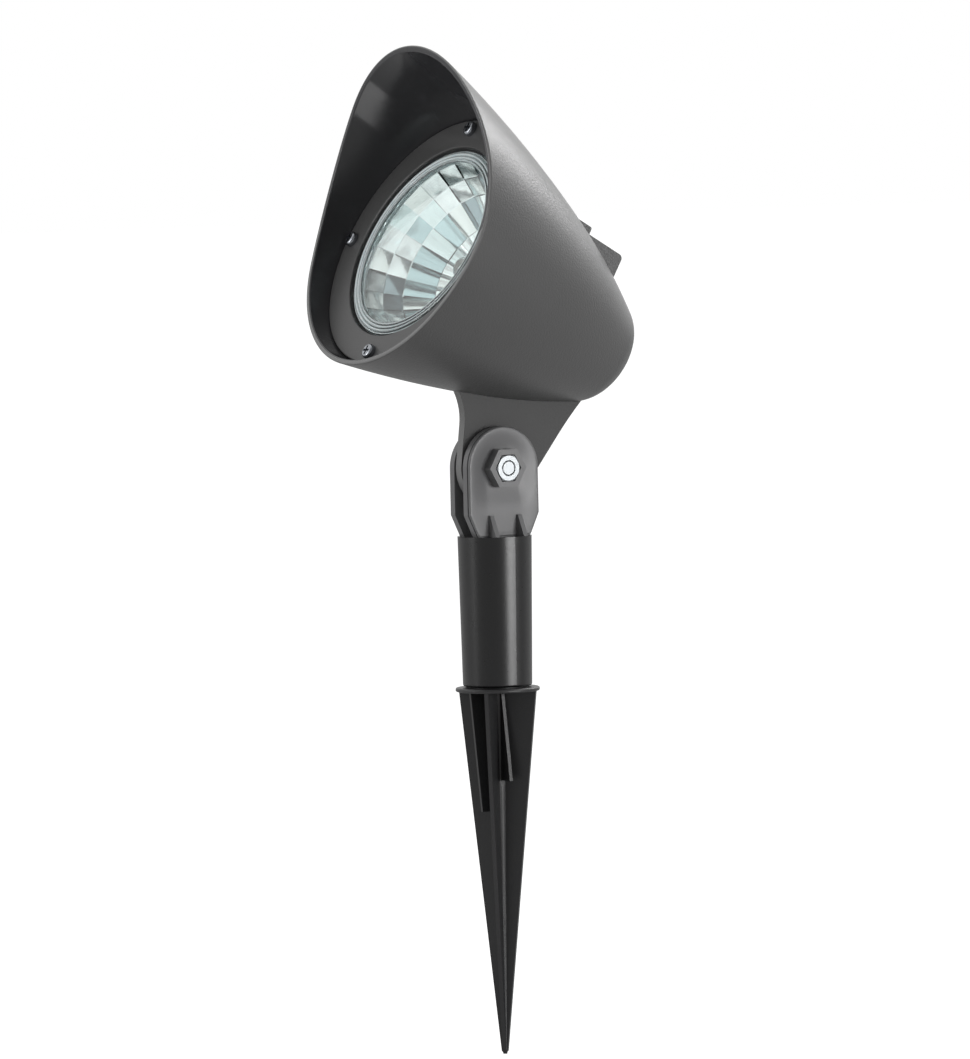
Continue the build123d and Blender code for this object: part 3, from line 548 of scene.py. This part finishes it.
class SPOTLIGHT_OT_reflector(bpy.types.Operator):
    """Faceted aluminium reflector bowl"""

    bl_idname = "spotlight.reflector"
    bl_label = "Reflector"

    def execute(self, context):
        # aluminium, pressed, polished and anodised: a bright mirror, broken up by its facets
        mirror = plain_metal(
            "aluminium_anodised_bright",
            "#eef2f3",
            rough=0.07,
            grain=0.002,
            bump=0.000004,
            mottle=0.03,
        )
        dress(mirror, "reflector")
        facet_mirror = plain_metal(
            "aluminium_anodised_facets",
            "#ffffff",
            rough=0.13,
            grain=0.004,
            bump=0.00007,
            mottle=0.02,
        )
        tree, surface = surface_of(facet_mirror)
        # the film differs a little from facet to facet: silver, pale green-blue or grey
        tone = add_node(tree, "ShaderNodeAttribute", attribute_name="film")
        film = add_node(tree, "ShaderNodeValToRGB", {"Fac": tone.outputs["Fac"]})
        ramp = film.color_ramp
        ramp.interpolation = "CONSTANT"
        ramp.elements.remove(ramp.elements[1])
        for index, (position, shade) in enumerate(FILM):
            element = ramp.elements.new(position) if index else ramp.elements[0]
            element.color = linear(shade)
        base = surface.inputs["Base Color"].links[0].from_node
        tree.links.new(film.outputs["Color"], base.inputs[6])
        mesh = self.facets(context.scene.spotlight_reflector)
        place(mesh, "reflector_facets", facet_mirror, "head")
        return {"FINISHED"}

    def facets(self, sizes):
        """Separate crowned and slightly tilted facets, standing just proud of the bowl."""
        chance = random.Random(TOOL_SEED)
        mouth, focus = sizes.mouth / MM, sizes.focus / MM
        vertex_back = BOWL_FRONT_MM + mouth**2 / (4 * focus)
        turn = 2 * math.pi / sizes.facets
        built = bmesh.new()
        film = built.faces.layers.float.new("film")
        for ring, (outer, inner) in enumerate(zip(FACET_RINGS, FACET_RINGS[1:])):
            for index in range(sizes.facets):
                corners = []
                for radius, angle in (
                    (outer * mouth, index * turn),
                    (outer * mouth, (index + 1) * turn),
                    (inner * mouth, (index + 1) * turn),
                    (inner * mouth, index * turn),
                ):
                    back = vertex_back - radius**2 / (4 * focus)
                    x, up = radius * math.cos(angle), radius * math.sin(angle)
                    corners.append(head_point(back, x, up))
                self.facet(built, film, corners, sizes, chance, flute=ring >= FIRST_FLUTED)
        return mesh_from(built, "reflector_facets")

    def facet(self, built, film, corners, sizes, chance, flute):
        """One facet on its four corners: crowned both ways, or across only where it is a flute."""
        a, b, c, d = corners
        normal = (c - a).cross(d - b).normalized()
        if normal.dot(BEAM) < 0:
            normal = -normal
        width, height = (b - a).length, (d - a).length
        lean_u, lean_v = (math.tan(chance.uniform(-1, 1) * sizes.tilt) for _ in range(2))
        reach = abs(lean_u) * width / 2 + abs(lean_v) * height / 2
        tone = chance.random()
        crown = sizes.crown * (FLUTE_CROWN if flute else 1.0)
        spread = (1 - 2 * FACET_MARGIN) / FACET_CUTS
        shares = [FACET_MARGIN + spread * cut for cut in range(FACET_CUTS + 1)]
        rows = []
        for v in shares:
            verts = []
            for u in shares:
                flat = a.lerp(b, u).lerp(d.lerp(c, u), v)
                bulge = 4 * u * (1 - u) * (1 if flute else 4 * v * (1 - v))
                lean = lean_u * (u - 0.5) * width + lean_v * (v - 0.5) * height
                rise = FACET_LIFT + crown * bulge + lean + reach
                verts.append(built.verts.new(flat + normal * rise))
            rows.append(verts)
        for lower, upper in zip(rows, rows[1:]):
            for k in range(FACET_CUTS):
                face = built.faces.new((lower[k], lower[k + 1], upper[k + 1], upper[k]))
                face[film] = tone
                if face.normal.dot(normal) < 0:
                    face.normal_flip()


class SPOTLIGHT_OT_lamp(bpy.types.Operator):
    """Lamp capsule, holder, leads and the wiring box's contents"""

    bl_idname = "spotlight.lamp"
    bl_label = "Lamp"

    def execute(self, context):
        # quartz glass, drawn and pinched: clear
        quartz, tree, output = new_material("quartz_drawn")
        clear = add_node(
            tree,
            "ShaderNodeBsdfPrincipled",
            {
                "Base Color": linear("#f4f6f6"),
                "Roughness": 0.06,
                "IOR": 1.46,
                "Transmission Weight": 1.0,
            },
        )
        close_with(tree, output, clear)
        dress(quartz, "lamp_capsule")
        # nickel plate: warm grey and bright
        nickel = plain_metal("nickel_plated", "#bdb9ae", rough=0.22, grain=0.001, bump=0.000005)
        dress(nickel, "lamp_pins")
        # steatite ceramic, fired unglazed: chalky off-white
        ceramic = moulded(
            "steatite_fired", "#d8d3c6", rough=0.7, grain=0.0004, bump=0.00003, mottle=0.03
        )
        dress(ceramic, "lamp_holder")
        # silicone rubber sleeve, extruded: soft, dull cream
        sleeve = moulded(
            "silicone_sleeve", "#cfcabc", rough=0.55, grain=0.0006, bump=0.00003, mottle=0.04
        )
        dress(sleeve, "lead_wires")
        # uncoloured polyamide, moulded: milky, satin
        block = moulded(
            "polyamide_natural", "#d6d5cc", rough=0.35, grain=0.0005, bump=0.00001, mottle=0.03
        )
        dress(block, "terminal_block")
        # brass, machined: yellow with a fine turned sheen
        brass = plain_metal("brass_machined", "#c9a24f", rough=0.28, grain=0.0008, bump=0.000005)
        dress(brass, "terminal_screws")
        return {"FINISHED"}


# near ear of the clevis, millimetres about the pivot: face, outline and how its face is dished
EAR_FACE = 6.0
EAR_RADIUS = 13.25
EAR_STRAIGHT = 14.8
EAR_FOOT = 21.85
EAR_FOOT_HALF = 9.9
BOSS_INNER_RADIUS = 5.5
DISH_CREST = 0.25
DISH_DEPTH = 0.95
DISH_SHOULDER = 0.6
DISH_REACH = 7.0
DISH_FADE = (5.0, 14.0)  # the hollow runs out between these levels below the pivot
DISH_LEFT = 0.22  # share of its depth left at the foot
EAR_STEPS = 180
EAR_RINGS = 24
# distance in from the outline, height over the face
EAR_EDGE = ((0.1, -0.12), (0.12, 0.05), (0.2, 0.15), (0.34, 0.22), (0.55, 0.25))
UPRIGHT = 1e-6  # a direction this near the vertical doesn't meet the ear's sides


def smooth_step(value):
    """0 to 1 with a soft start and end."""
    value = min(max(value, 0.0), 1.0)
    return value * value * (3 - 2 * value)


class SPOTLIGHT_OT_clevis(bpy.types.Operator):
    """Clevis, stem, spike and the pivot's zinc-plated hardware"""

    bl_idname = "spotlight.clevis"
    bl_label = "Clevis, stem and spike"

    def execute(self, context):
        finish = context.scene.spotlight_finish
        # glass-filled polyamide, moulded: paler than the rest, satin
        clevis = moulded(
            "polyamide_moulded", finish.clevis, rough=0.36, grain=finish.grain, bump=0.00003
        )
        dress(clevis, "clevis_yoke")
        # polypropylene, extruded: smooth, semi-gloss
        stem = moulded(
            "polypropylene_extruded", finish.stem, rough=0.3, grain=0.0012, bump=0.000004, ior=1.56
        )
        dress(stem, "stem_tube")
        # polypropylene, moulded: semi-matt
        spike = moulded(
            "polypropylene_moulded", finish.spike, rough=0.42, grain=finish.grain, bump=0.00003
        )
        dress(spike, "ground_spike")
        # steel, zinc plated: bright, slightly blue
        zinc = plain_metal("steel_zinc_plated", "#96999b", rough=0.32, grain=0.0007, bump=0.00001)
        dress(zinc, "pivot_bolt", "pivot_washer", "pivot_nut", "holder_bracket", "holder_screws")
        place(self.dished_face(), "ear_face", clevis, "stem")
        return {"FINISHED"}

    def outline(self, y, z):
        """Distance from the pivot to the ear's outline in a direction of unit length."""
        if z >= 0:
            return EAR_RADIUS
        reach = EAR_FOOT / -z
        if abs(y) > UPRIGHT:
            reach = min(reach, EAR_RADIUS / abs(y))
            slope = (EAR_RADIUS - EAR_FOOT_HALF) / (EAR_FOOT - EAR_STRAIGHT)
            cheek = abs(y) - z * slope
            reach = min(reach, (EAR_RADIUS + EAR_STRAIGHT * slope) / cheek)
        return reach

    def dish(self, y, z):
        """Height over the ear's face: a crest along sides and top, hollow in the middle."""
        half = EAR_RADIUS
        if z < -EAR_STRAIGHT:
            share = (-z - EAR_STRAIGHT) / (EAR_FOOT - EAR_STRAIGHT)
            half = EAR_RADIUS + (EAR_FOOT_HALF - EAR_RADIUS) * share
        inset = half - (math.hypot(y, z) if z > 0 else abs(y))
        faded = smooth_step((-z - DISH_FADE[0]) / (DISH_FADE[1] - DISH_FADE[0]))
        depth = DISH_DEPTH * (1 - (1 - DISH_LEFT) * faded)
        return DISH_CREST - depth * smooth_step((inset - DISH_SHOULDER) / DISH_REACH)

    def dished_face(self):
        """Skin over the near ear with its soft dish and rounded edge."""
        built = bmesh.new()
        rows = []
        for step in range(EAR_STEPS):
            angle = 2 * math.pi * step / EAR_STEPS
            y, z = math.cos(angle), math.sin(angle)
            limit = self.outline(y, z)
            row = [(limit - inset, height) for inset, height in EAR_EDGE]
            rim = limit - EAR_EDGE[-1][0]
            for ring in range(1, EAR_RINGS + 1):
                radius = rim + (BOSS_INNER_RADIUS - rim) * ring / EAR_RINGS
                row.append((radius, self.dish(y * radius, z * radius)))
            points = (Vector((EAR_FACE + height, y * radius, z * radius)) for radius, height in row)
            rows.append([built.verts.new(PIVOT + point * MM) for point in points])
        for row, following in zip(rows, rows[1:] + rows[:1]):
            for k in range(len(row) - 1):
                built.faces.new((row[k], following[k], following[k + 1], row[k + 1]))
        bmesh.ops.recalc_face_normals(built, faces=built.faces)
        if sum(face.normal.x for face in built.faces) < 0:
            bmesh.ops.reverse_faces(built, faces=built.faces)
        return mesh_from(built, "ear_face")


# ------------------------------------------------------ stage, in metres and degrees
FLOOR_LEVEL = CAD_BOX[0].z
FLOOR_HALF = 12.0
FLOOR_LIFT = 0.9
GLOSSY_SHARE = 0.25  # of the floor's lift, for what glossy surfaces mirror
# where the lit wall stands, seen from the object: behind it and to the left
LIT_WALL = Vector((-0.834, 0.25, 0.25))
WALL_EDGE = (-0.35, 0.45)
# greyer fields of the room, for what the mirror finds through the cover glass
FIELD_SCALE = 2.6
FIELD_EDGE = (0.4, 0.52)
FIELD_LEVELS = (0.65, 1.0)
# soft boxes: distance, the point they face, then each one's direction, width and height
BOX_DISTANCE = 1.2
AIM = PIVOT + Vector((0.0, 0.0, 0.02))
SOFT_BOXES = {
    "key": ((-0.1, 0.87, 0.58), (0.3, 0.6)),
    "fill": ((-0.3, -0.95, 0.3), (0.3, 0.8)),
    "strip": ((0.956, 0.292, -0.02), (0.55, 0.32)),
}
# low card in front, facing up
CARD_SIZE = (0.15, 0.04)
CARD_PLACE = (0.01, -0.142, FLOOR_LEVEL + 0.01)
CARD_POWER = 0.03
# camera: azimuth, elevation and roll, and the photograph's size, focal length and centre in pixels
CAMERA_ANGLES = (56.52, 2.727, 1.2)
CAMERA_DISTANCE = 2.754
PHOTO = (970, 1059)
PHOTO_FOCAL = 8606.9
PHOTO_CENTRE = (493.09, 467.30)
SENSOR_WIDTH = 36.0
CLIP_END = 100.0


def area_light(name, size, power):
    """A rectangular area light, linked to the scene."""
    light = bpy.data.lights.new(name, "AREA")
    light.shape = "RECTANGLE"
    light.size, light.size_y = size
    light.energy = power
    lamp = bpy.data.objects.new(name, light)
    bpy.context.scene.collection.objects.link(lamp)
    return lamp


class SPOTLIGHT_OT_stage(bpy.types.Operator):
    """Floor, room light, soft boxes and the camera at the photograph's angle"""

    bl_idname = "spotlight.stage"
    bl_label = "Stage"

    def execute(self, context):
        stage = context.scene.spotlight_stage
        self.room(context, stage)
        self.floor()
        for key, (direction, size) in SOFT_BOXES.items():
            self.soft_box(f"{key}_box", direction, size, getattr(stage, key))
        self.low_card()
        self.camera(context)
        context.scene.view_settings.view_transform = "Standard"
        return {"FINISHED"}

    def room(self, context, stage):
        """White behind the object and darker on the camera's side: a studio with one lit wall."""
        world = bpy.data.worlds.new("studio")
        context.scene.world = world
        world.use_nodes = True
        tree = world.node_tree
        tree.nodes.clear()
        direction = add_node(tree, "ShaderNodeTexCoord").outputs["Generated"]
        towards = add_node(
            tree,
            "ShaderNodeVectorMath",
            {0: direction, 1: LIT_WALL.normalized()},
            operation="DOT_PRODUCT",
        )
        level = add_node(
            tree,
            "ShaderNodeMapRange",
            {
                "Value": towards.outputs["Value"],
                "From Min": WALL_EDGE[0],
                "From Max": WALL_EDGE[1],
                "To Min": stage.dim,
                "To Max": stage.backdrop,
            },
            interpolation_type="SMOOTHSTEP",
        )
        fields = add_node(
            tree, "ShaderNodeTexNoise", {"Vector": direction, "Scale": FIELD_SCALE, "Detail": 1.0}
        )
        patchy = add_node(
            tree,
            "ShaderNodeMapRange",
            {
                "Value": fields.outputs["Fac"],
                "From Min": FIELD_EDGE[0],
                "From Max": FIELD_EDGE[1],
                "To Min": FIELD_LEVELS[0],
                "To Max": FIELD_LEVELS[1],
            },
        )
        around, through, seen = (
            add_node(
                tree, "ShaderNodeBackground", {"Color": linear("#ffffff"), "Strength": strength}
            ).outputs[0]
            for strength in (level.outputs["Result"], patchy.outputs["Result"], 1.0)
        )
        rays = add_node(tree, "ShaderNodeLightPath").outputs
        indirect = add_node(
            tree, "ShaderNodeMixShader", {0: rays["Is Transmission Ray"], 1: around, 2: through}
        )
        shown = add_node(
            tree,
            "ShaderNodeMixShader",
            {0: rays["Is Camera Ray"], 1: indirect.outputs[0], 2: seen},
        )
        close_with(tree, tree.nodes.new("ShaderNodeOutputWorld"), shown)

    def floor(self):
        """A wide matt sheet at the spike's tip, white in the picture but for the shadow."""
        mesh = bpy.data.meshes.new("floor")
        corners = [
            (x * FLOOR_HALF, y * FLOOR_HALF, FLOOR_LEVEL)
            for x, y in ((-1, -1), (1, -1), (1, 1), (-1, 1))
        ]
        mesh.from_pydata(corners, [], [(0, 1, 2, 3)])
        floor = bpy.data.objects.new("floor", mesh)
        bpy.context.scene.collection.objects.link(floor)
        # paper: matt, lifted to white where the camera, glass or metal shows it
        material, tree, output = new_material("paper_white")
        matt = add_node(tree, "ShaderNodeBsdfDiffuse", {"Color": linear("#8f8f8f")})
        lift = add_node(
            tree, "ShaderNodeEmission", {"Color": linear("#ffffff"), "Strength": FLOOR_LIFT}
        )
        rays = add_node(tree, "ShaderNodeLightPath").outputs
        faint = add_node(
            tree,
            "ShaderNodeMath",
            {0: rays["Is Glossy Ray"], 1: GLOSSY_SHARE},
            operation="MULTIPLY",
        )
        through = add_node(
            tree,
            "ShaderNodeMath",
            {0: rays["Is Transmission Ray"], 1: faint.outputs[0]},
            operation="MAXIMUM",
        )
        shown = add_node(
            tree,
            "ShaderNodeMath",
            {0: rays["Is Camera Ray"], 1: through.outputs[0]},
            operation="MAXIMUM",
        )
        glow = add_node(tree, "ShaderNodeMixShader", {0: shown.outputs[0], 2: lift.outputs[0]})
        both = add_node(tree, "ShaderNodeAddShader", {0: matt.outputs[0], 1: glow.outputs[0]})
        close_with(tree, output, both)
        mesh.materials.append(material)

    def low_card(self):
        """A faint card on the floor in front, which the hood's glossy inside mirrors."""
        card = area_light("low_card", CARD_SIZE, CARD_POWER)
        card.location = CARD_PLACE
        card.rotation_euler = (math.pi, 0.0, 0.0)
        card.visible_camera = False

    def soft_box(self, name, direction, size, power):
        """A soft box at the common distance, facing the object."""
        lamp = area_light(name, size, power)
        lamp.location = AIM + Vector(direction).normalized() * BOX_DISTANCE
        lamp.rotation_mode = "QUATERNION"
        lamp.rotation_quaternion = (lamp.location - AIM).to_track_quat("Z", "Y")

    def camera(self, context):
        """The camera at the photograph's angle, distance and framing."""
        azimuth, elevation, roll = (math.radians(angle) for angle in CAMERA_ANGLES)
        level = math.cos(elevation)
        right = Vector((math.cos(azimuth), math.sin(azimuth), 0.0))
        back = Vector((math.sin(azimuth) * level, -math.cos(azimuth) * level, math.sin(elevation)))
        up = back.cross(right)
        tilted_right = right * math.cos(roll) - up * math.sin(roll)
        tilted_up = right * math.sin(roll) + up * math.cos(roll)
        data = bpy.data.cameras.new("camera")
        data.lens = SENSOR_WIDTH * PHOTO_FOCAL / PHOTO[1]
        data.shift_x = (PHOTO[0] / 2 - PHOTO_CENTRE[0]) / PHOTO[1]
        data.shift_y = (PHOTO_CENTRE[1] - PHOTO[1] / 2) / PHOTO[1]
        data.clip_end = CLIP_END
        camera = bpy.data.objects.new("camera", data)
        turn = Matrix((tilted_right, tilted_up, back)).transposed().to_4x4()
        camera.matrix_world = Matrix.Translation(PIVOT + back * CAMERA_DISTANCE) @ turn
        context.scene.collection.objects.link(camera)
        context.scene.camera = camera


class SPOTLIGHT_PT_panel(bpy.types.Panel):
    """Lists the spotlight's sizes, colours and steps"""

    bl_label = "Spotlight"
    bl_idname = "SPOTLIGHT_PT_panel"
    bl_space_type = "VIEW_3D"
    bl_region_type = "UI"
    bl_category = "Spotlight"

    def draw(self, context):
        for name in GROUPS:
            group = getattr(context.scene, name)
            for key in group.__annotations__:
                self.layout.prop(group, key)
        for step in STEPS:
            self.layout.operator(step.bl_idname)


STEPS = (
    SPOTLIGHT_OT_stage,
    SPOTLIGHT_OT_housing,
    SPOTLIGHT_OT_front,
    SPOTLIGHT_OT_reflector,
    SPOTLIGHT_OT_lamp,
    SPOTLIGHT_OT_clevis,
)
GROUPS = {
    "spotlight_finish": SpotlightFinish,
    "spotlight_reflector": SpotlightReflector,
    "spotlight_stage": SpotlightStage,
}


def register():
    for cls in (*GROUPS.values(), *STEPS, SPOTLIGHT_PT_panel):
        bpy.utils.register_class(cls)
    for name, group in GROUPS.items():
        setattr(bpy.types.Scene, name, PointerProperty(type=group))


def unregister():
    for name in GROUPS:
        delattr(bpy.types.Scene, name)
    for cls in (SPOTLIGHT_PT_panel, *reversed(STEPS), *GROUPS.values()):
        bpy.utils.unregister_class(cls)


def main():
    """Runs every step in order."""
    register()
    for step in STEPS:
        group, name = step.bl_idname.split(".")
        getattr(getattr(bpy.ops, group), name)()
    bpy.context.view_layer.update()


if __name__ == "__main__":
    main()
